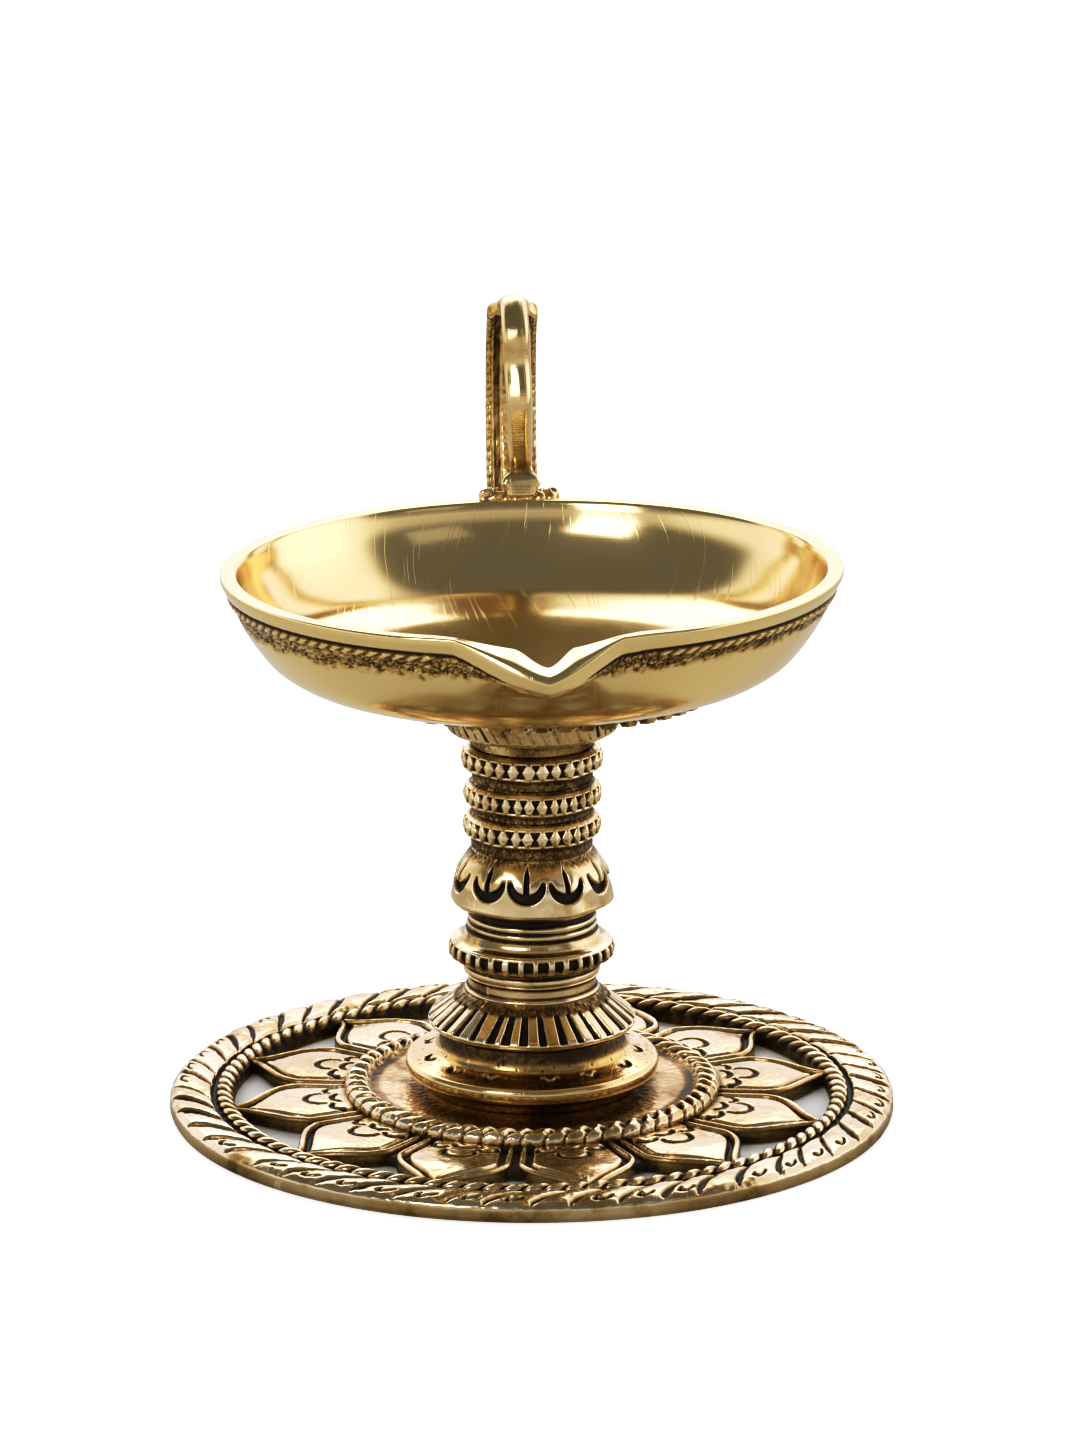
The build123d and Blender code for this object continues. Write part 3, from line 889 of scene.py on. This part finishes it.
def bowl():
    """Oil bowl: a thin turned shell pinched to a spout, with a rope line and a stippled band outside."""
    low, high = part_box("bowl")
    bottom, rim, r = low.z / MM, high.z / MM, (high.x - low.x) / 2 / MM
    reach = -low.y / MM - r
    boss, wall, lip, inside = bowl_outline(bottom, rim, r)
    outline = np.vstack([boss, wall, lip[1:], inside[1:]])
    lip_start = len(boss) + len(wall)
    row = np.arange(len(outline))[:, None]
    angle = bowl_angles(800)[None, :]
    radius, height = outline[:, :1], outline[:, 1:]
    normal = outward(outline, False)
    inward = np.clip((row - lip_start) / (len(lip) - 2), 0, 1)
    lip_share = (1 - inward) * spout_share(angle, SPOUT_HALF)
    notch = inward * spout_share(angle, NOTCH_HALF, 0.1)
    sag = inward * spout_share(angle, 1.3 * SPOUT_HALF)
    level = np.where(inward > 0, step(rim - 8.0, rim - 0.6, height), step(rim - 5.2, rim - 3.7, height))
    push = (reach * lip_share + (reach - 2.2) * notch) * level
    flare = -0.35 * np.exp(-((np.abs(angle) - SPOUT_HALF * 1.1) / 0.08) ** 2) * level
    drop = SPOUT_DROP * lip_share + (SPOUT_DROP - 2.3) * notch + 1.3 * sag
    drop = drop * step(rim - 9.0, rim - 1.5, height)
    raised, patina_and_shade = bowl_relief(radius, height, angle, drop, inward, row >= len(boss), rim)
    around = radius + raised * normal[:, :1] + push + flare
    up = height + raised * normal[:, 1:] - drop
    up = up + BOWL_TILT * around * np.sin(angle) * step(span("top_cup")[2] + 0.5, 30.0, radius)
    return closed_surface(round_stem(around, angle, up), patina_and_shade + 0 * around, wrap_rows=False)


def bowl_relief(radius, height, angle, drop, inward, past_boss, rim):
    """Ornament outside the bowl: lip band, dark groove, rope line, stippled band, and dentils below."""
    below = rim - height
    outer = 1.0 * (inward <= 0) * past_boss
    spout = np.abs(angle) / SPOUT_HALF
    start = LIP_BAND + 0.9 * np.exp(-((spout - 0.3) / 0.6) ** 2)
    fade = step(0.28, 0.6, spout)
    grain = grain_on(height, angle, 102, 0)
    soft = grain_on(height, angle, 103, 2)
    ragged = 0.3 * uneven(angle * 3, 0 * angle, 101) + 0.18 * soft
    floor_line = 6.0 - 0.7 * np.sin(angle) + ragged
    band = step(start, start + 0.2, below) * fall(floor_line - 1.2, floor_line, below + drop) * fade
    rope_fade = step(1.0, 1.5, spout)
    crease = groove(below - start - 0.12, 0.26) * fade
    rope_line = window(below, start + 0.42, start + 1.05, 0.2) * rope_fade
    _, strand = repeat(angle, 130)
    lean = (strand + 0.5 + 0.75 * (below - start)) % 1.0
    gap = np.abs(2 * lean - 1) ** 2
    ring = window(radius, 23.5, 25.0, 0.3) * (height < rim - 14) * outer
    _, dentil = repeat(angle, 50)
    hole = fall(0.16, 0.27, np.abs(dentil)) * ring
    raised = -outer * (0.16 * band * (1 - rope_line) + 0.30 * crease)
    raised = raised + outer * rope_line * (0.22 - 0.42 * gap)
    raised = raised + outer * band * (1 - rope_line) * 0.07 * grain
    raised = raised + (0.75 + 0.5 * np.sin(angle)) * ring - 0.6 * hole
    raised = raised + 0.02 * uneven(angle, height * 0.4, 104) * step(3.0, 24.0, radius)
    patina_and_shade = outer * (0.95 * crease + 0.8 * rope_line * gap)
    shade = 0.50 + 0.10 * np.sin(angle) - 0.24 * grain + 0.06 * soft
    patina_and_shade = patina_and_shade + outer * band * (1 - rope_line) * np.clip(shade, 0, 1)
    patina_and_shade = patina_and_shade + 0.95 * hole
    return raised * past_boss, patina_and_shade * past_boss


# ---- the finger loop

LOOP_SPACING = 0.26


def loop_path():
    """Centre line of the finger loop in the Y-Z plane, from behind the bowl to its foot on the rim."""
    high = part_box("handle")[1]
    top, back = high.z / MM, high.y / MM
    _, rim, r = span("bowl")
    return curve([
        (r - 3.0, rim - 7.0), (47.5, rim - 7.6), (54.5, rim - 4.6), (back - 3.2, rim + 3.0),
        (back - 1.5, rim + 11.5), (back - 3.2, rim + 20.0), (back - 7.4, top - 3.0),
        (back - 12.2, top - 1.5), (r + 3.2, top - 4.4), (r + 2.3, top - 9.0), (r + 0.5, top - 13.5),
        (r + 0.3, top - 18.5), (r + 0.3, rim + 3.5), (r - 0.4, rim + 0.2),
    ], LOOP_SPACING)


def loop_relief(turn, along, share, side, depth, half_thick, strap):
    """Ornament of the loop: roped edges, dirty channels and a lined ridge, then facets on the leg."""
    x = np.abs(side)
    wander = 0.5 * uneven(turn * 0, along * 2.1, 113)
    twist = np.abs(2 * ((along / 1.3 + 0.3 * depth + 0.25 * wander) % 1.0) - 1)
    edge = step(2.7, 3.0, x) * strap
    channel = window(x, 1.8, 2.5, 0.2) * strap
    ridge = fall(1.2, 1.6, x) * strap
    grain = speckle(side.shape, 111, 1)
    patches = 0.5 + 0.5 * uneven(turn * 2, along * 3, 114)
    facing = np.abs(depth) / half_thick
    lines = groove(x - 0.7, 0.16) * ridge
    neck = window(share, 0.94, 0.957, 0.008)
    raised = 0.15 * edge * (1 - (1.0 + 0.3 * wander) * twist ** 3) - 0.42 * channel * step(0.3, 0.8, facing)
    raised = raised + 0.12 * ridge - 0.18 * lines + 0.03 * grain * strap + 0.05 * uneven(turn, along, 112)
    raised = raised + (1 - strap) * 0.14 * np.cos(2 * turn + 0.6) * window(share, 0.64, 0.93, 0.03)
    patina_and_shade = channel * (0.10 + 0.28 * patches) + edge * (0.4 * twist ** 2 * patches) + 0.45 * lines
    # The neck term is painted shade in the undercut above the leg's foot.
    return raised, strap * (patina_and_shade + 0.13 + 0.09 * grain) + 0.4 * neck


def handle():
    """Finger loop: a wide strap with roped edges behind, narrowing over the top to a plain front leg."""
    path = loop_path()
    tangent = np.gradient(path, axis=0)
    tangent /= np.linalg.norm(tangent, axis=1, keepdims=True)
    out = stacked(-tangent[:, 1], tangent[:, 0])
    if np.sum((path - path.mean(0)) * out) < 0:
        out = -out
    share = np.linspace(0, 1, len(path))[:, None]
    along = share * len(path) * LOOP_SPACING
    strap = fall(0.585, 0.625, share)
    leg_width = np.interp(share, [0.58, 0.66, 0.74, 0.84, 0.93, 0.955, 0.964, 0.978, 0.99, 1.0],
                          [2.1, 1.95, 1.95, 1.8, 1.6, 1.35, 2.4, 2.9, 2.2, 2.0])
    leg_thick = np.interp(share, [0.55, 0.8, 0.93, 0.952, 0.97, 1.0], [1.6, 1.5, 1.35, 1.1, 1.6, 1.7])
    lean = 0.6 * step(0.65, 0.93, share)
    half_width = 3.6 * strap + (1 - strap) * leg_width
    half_thick = 1.3 * strap + (1 - strap) * leg_thick
    turn = np.linspace(0, TURN, 96, endpoint=False)[None, :]
    square = 0.42 * strap + (1 - strap) * (0.62 - 0.25 * step(0.95, 0.96, share))
    side = np.sign(np.sin(turn)) * np.abs(np.sin(turn)) ** square * half_width
    depth = np.sign(np.cos(turn)) * np.abs(np.cos(turn)) ** square * half_thick
    raised, patina_and_shade = loop_relief(turn, along, share, side, depth, half_thick, strap)
    side = side * (1 + raised * 0.35 / np.maximum(half_width, 0.5))
    depth = depth * (1 + raised / np.maximum(half_thick, 0.5))
    roll = np.radians(14.0) * window(share, 0.66, 0.93, 0.05)
    side, depth = side * np.cos(roll) - depth * np.sin(roll), depth * np.cos(roll) + side * np.sin(roll)
    points = stacked(side + lean, path[:, :1] + out[:, :1] * depth, path[:, 1:] + out[:, 1:] * depth)
    return closed_surface(points, patina_and_shade, wrap_rows=False)


def braze():
    """Lumps of brazing metal that hold the loop's foot and root on the bowl."""
    _, rim, r = span("bowl")
    rng = np.random.default_rng(121)
    lat = np.linspace(0.05, math.pi - 0.05, 20)[:, None]
    lon = np.linspace(0, TURN, 36, endpoint=False)[None, :]
    lumps = []
    shells = []
    for x in np.linspace(-3.9, 4.7, 9):
        size = rng.uniform(1.1, 1.7)
        y = r - 0.1 + rng.uniform(-0.5, 0.4)
        lumps.append((x, y, rim - 0.05, size, 0.6 + 0.6 * size * rng.uniform(0.5, 1.0)))
    for x in np.linspace(-3.2, 3.2, 6):
        lumps.append((x, r - 1.6, rim - 7.2 + rng.uniform(-1.4, 1.4), rng.uniform(1.0, 1.6), 1.1))
    for x, y, z, size, tall in lumps:
        lump = 1 + 0.20 * np.sin(3 * lon + x * 4) * np.sin(lat) + 0.12 * np.sin(4 * lat + 2 * lon + y)
        points = stacked(
            x + size * lump * np.sin(lat) * np.cos(lon),
            y + size * 0.8 * lump * np.sin(lat) * np.sin(lon),
            z + tall * lump * np.cos(lat),
        )
        shells.append(closed_surface(points, np.full(points.shape[:2], 0.12), wrap_rows=False))
    return shells


# ---- putting it together

make_piece("plate_band", [plate_band()], "plate", PLATE, "base_plate")
make_piece("plate_well", [plate_well()], "plate", PLATE)
make_piece("lotus_petals", lotus_petals(), "plate", PLATE)
make_piece("foot_casting", [foot()], "stem", TURNED, "foot")
make_piece("skirt_casting", [fluted_skirt()], "stem", CAST, "fluted_skirt")
make_piece("collar_casting", [beaded_collar()], "stem", CAST, "beaded_collar")
make_piece("bell_casting", [lotus_bell()], "stem", CAST, "lotus_bell")
for name, node, facets, centre, seed, bore in (
    ("lower_ring", "ring_lower", 31, 40.4, 131, BORE_R),
    ("middle_ring", "ring_middle", 34, 44.9, 141, BORE_R),
    ("upper_ring", "ring_upper", 30, 49.9, 151, BOSS_BORE_R),
):
    ring = faceted_ring(node, facets, centre, seed, bore)
    make_piece(name, [ring], "stem", CAST, node)
make_piece("cup_casting", [top_cup()], "stem", CAST, "top_cup")
make_piece("oil_bowl", [bowl()], "bowl", POLISHED, "bowl")
make_piece("finger_loop", [handle()], "bowl", TURNED, "handle")
make_piece("braze_lumps", braze(), "bowl", TURNED)
screw_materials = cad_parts["tie_screw"].data.materials
screw_materials.clear()
screw_materials.append(SCREW)


# ---- stage, light and camera, in metres

LAMP_MIDDLE = 0.06


def floor():
    """Plain white floor. The camera sees it lifted to white, except under the plate."""
    size = 6.0
    shaded_r, lifted_r = 0.046, 0.052
    mesh = bpy.data.meshes.new("floor")
    corners = [(-size, -size, 0), (size, -size, 0), (size, size, 0), (-size, size, 0)]
    mesh.from_pydata(corners, [], [(0, 1, 2, 3)])
    material = bpy.data.materials.new("floor_white")
    s = Shader(material)
    seen = s.add("LightPath").outputs["Is Camera Ray"]
    place = s.add("TexCoord").outputs["Object"]
    distance = s.add("VectorMath", {"operation": "LENGTH"}, i0=place).outputs["Value"]
    lift = s.times(seen, s.remap(distance, shaded_r, lifted_r, 0.0, 0.7))
    white = s.plus(0.72, s.times(seen, 0.3))
    warm = s.times(white, 0.92)
    colour = s.add("CombineXYZ", X=white, Y=white, Z=warm).outputs[0]
    paint = s.add("BsdfDiffuse", Color=colour)
    glow = s.add("Emission", Color=(1.0, 1.0, 1.0, 1.0), Strength=lift)
    both = s.add("AddShader", i0=paint.outputs[0], i1=glow.outputs[0])
    s.add("OutputMaterial", Surface=both.outputs[0])
    mesh.materials.append(material)
    add_object("floor", mesh)


def soft_box(name, azimuth, elevation, wide, tall, radiance, away=1.0):
    """An area light that looks at the lamp.

    Azimuth is in degrees from the camera's side and grows to the right. The box is seen from the
    lamp wide by tall degrees.
    """
    turn, rise = math.radians(azimuth), math.radians(elevation)
    width, height = (2 * away * math.tan(math.radians(side / 2)) for side in (wide, tall))
    data = bpy.data.lights.new(name, "AREA")
    data.shape = "RECTANGLE"
    data.size, data.size_y = width, height
    data.energy = radiance * math.pi * width * height
    light = add_object(name, data)
    level = away * math.cos(rise)
    light.location = (level * math.sin(turn), -level * math.cos(turn), away * math.sin(rise) + LAMP_MIDDLE)
    light.rotation_euler = (math.pi / 2 - rise, 0, turn)


def studio():
    """Surroundings that the brass reflects: a white cove behind and beside it, under a darker ceiling.

    The camera itself sees plain white.
    """
    world = bpy.data.worlds.new("studio")
    bpy.context.scene.world = world
    s = Shader(world)
    direction = s.add("TexCoord").outputs["Generated"]
    x, y, z = s.add("SeparateXYZ", Vector=direction).outputs
    facing = s.remap(s.plus(y, s.times(x, 0.4)), 0.50, -0.25)
    cove_top = s.remap(facing, 0.0, 1.0, 0.80, 0.22)
    ceiling = s.remap(facing, 0.0, 1.0, 0.93, 0.50)
    cove = s.remap(z, cove_top, ceiling, 1.0, 0.0)
    wall = s.remap(facing, 0.0, 1.0, 1.0, 0.45)
    sides = s.remap(s.math("ABSOLUTE", x), 0.75, 0.95, 0.0, 0.35)
    bright = s.times(s.plus(wall, sides), s.times(cove, 1.08))
    bright = s.plus(bright, 0.17)
    seen = s.add("LightPath").outputs["Is Camera Ray"]
    strength = s.plus(s.times(bright, s.math("SUBTRACT", 1.0, seen)), seen)
    background = s.add("Background", Color=(1.0, 1.0, 1.0, 1.0), Strength=strength)
    s.add("OutputWorld", Surface=background.outputs[0])


def camera():
    """Camera in front and a little above, turned a few degrees off the spout."""
    data = bpy.data.cameras.new("camera")
    data.sensor_width = 36.0
    data.lens = 153.2
    data.clip_start, data.clip_end = 0.01, 50.0
    azimuth, elevation = math.radians(-3.0), math.radians(14.76)
    away, height, sideways = 0.807, 0.2675, 0.0011
    lens = add_object("camera", data)
    lens.location = (
        away * math.sin(azimuth) + sideways * math.cos(azimuth),
        -away * math.cos(azimuth) + sideways * math.sin(azimuth),
        height,
    )
    lens.rotation_euler = (math.pi / 2 - elevation, 0, azimuth)
    bpy.context.scene.camera = lens


floor()
soft_box("key_box", -36, 33, 22, 24, 3.4)
soft_box("fill_box", 42, 38, 22, 16, 0.3)
soft_box("back_box", 180, 38, 50, 26, 1.6)
studio()
camera()
view = bpy.context.scene.view_settings
view.view_transform = "Standard"
view.use_curve_mapping = True
ALL, BLUE = 3, 2
for channel, points in ((ALL, ((0.16, 0.13), (0.60, 0.68))), (BLUE, ((0.12, 0.115), (0.45, 0.51)))):
    for seen, shown in points:
        view.curve_mapping.curves[channel].points.new(seen, shown)
view.curve_mapping.update()
